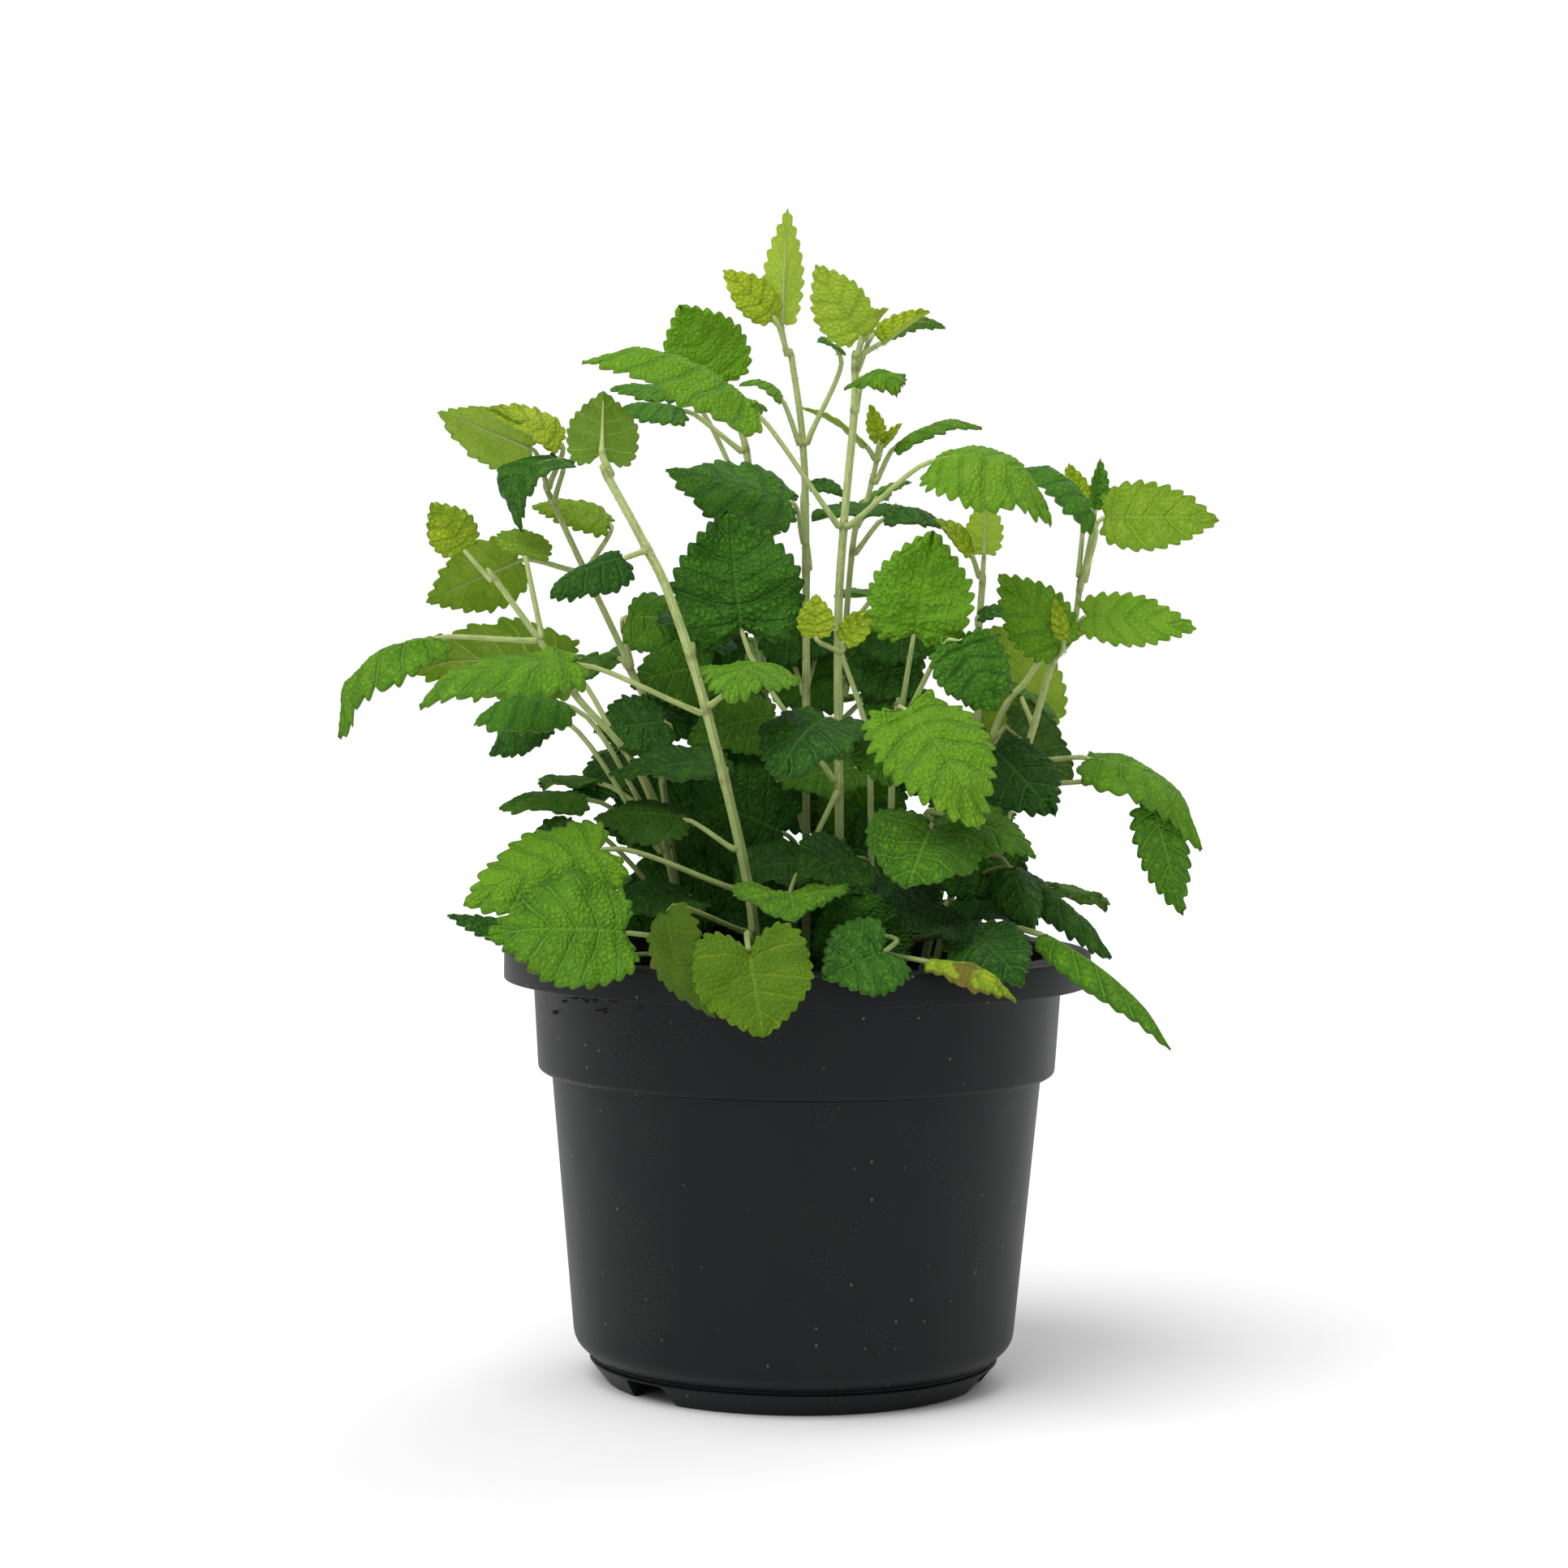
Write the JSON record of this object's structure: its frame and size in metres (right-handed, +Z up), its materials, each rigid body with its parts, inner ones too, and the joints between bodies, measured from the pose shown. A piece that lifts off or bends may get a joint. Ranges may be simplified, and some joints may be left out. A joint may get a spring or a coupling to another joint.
{
  "type": "potted lemon balm",
  "caption": "Young lemon balm plant with square upright stems and stalked toothed leaves, growing in soil in a round tapered nursery pot.",
  "frame": {"origin": "middle of the pot's base, in the plane it rests on", "axes": "+Z up along the pot's axis, -Y towards the front, where the leaves hang over the rim, +X to the front view's right"},
  "size_m": [0.1933, 0.1456, 0.26],
  "materials": {
    "pot_plastic": "charcoal moulded plastic, satin, with soft scuffs and dried soil marks",
    "potting_soil": "dark moist peat crumbs",
    "stem_green": "pale cream-green stem with fine hairs",
    "leaf_green": "fresh green leaf, satin, wrinkled between its veins",
    "leaf_dark": "deep green glossy leaf, strongly wrinkled",
    "leaf_pale": "pale green leaf with raised veins underneath",
    "leaf_yellow": "yellow-green leaf, some with browned edges"
  },
  "bodies": {
    "root": {"pot": "pot_plastic", "potting_soil": "potting_soil", "stem_1": "stem_green", "stem_2": "stem_green", "stem_3": "stem_green", "stem_4": "stem_green", "stem_5": "stem_green", "stem_6": "stem_green", "stem_7": "stem_green", "stem_8": "stem_green", "stem_9": "stem_green", "stem_10": "stem_green", "stem_11": "stem_green", "stem_12": "stem_green", "leaf_1a": "leaf_yellow", "leaf_1c": "leaf_green", "leaf_1d": "leaf_pale", "leaf_1e": "leaf_dark", "leaf_1f": "leaf_dark", "leaf_2a": "leaf_pale", "leaf_2c": "leaf_dark", "leaf_2d": "leaf_pale", "leaf_3a": "leaf_pale", "leaf_3c": "leaf_dark", "leaf_3d": "leaf_green", "leaf_3e": "leaf_green", "leaf_3g": "leaf_green", "leaf_3h": "leaf_green", "leaf_3i": "leaf_green", "leaf_3j": "leaf_yellow", "leaf_3k": "leaf_yellow", "leaf_4a": "leaf_pale", "leaf_4e": "leaf_dark", "leaf_9a": "leaf_dark", "leaf_9b": "leaf_dark", "leaf_5a": "leaf_pale", "leaf_5c": "leaf_green", "leaf_5d": "leaf_green", "leaf_5e": "leaf_green", "leaf_5f": "leaf_green", "leaf_5g": "leaf_dark", "leaf_5h": "leaf_green", "leaf_5i": "leaf_dark", "leaf_12b": "leaf_green", "leaf_6a": "leaf_pale", "leaf_11a": "leaf_dark", "leaf_11b": "leaf_dark", "leaf_11c": "leaf_green", "leaf_11d": "leaf_green", "leaf_11e": "leaf_green", "leaf_10a": "leaf_yellow", "leaf_10c": "leaf_dark", "leaf_10e": "leaf_dark", "leaf_7a": "leaf_pale", "leaf_7b": "leaf_green", "leaf_7c": "leaf_green", "leaf_7d": "leaf_dark", "leaf_7g": "leaf_green", "leaf_8a": "leaf_dark", "leaf_8c": "leaf_green"}
  },
  "joints": []
}
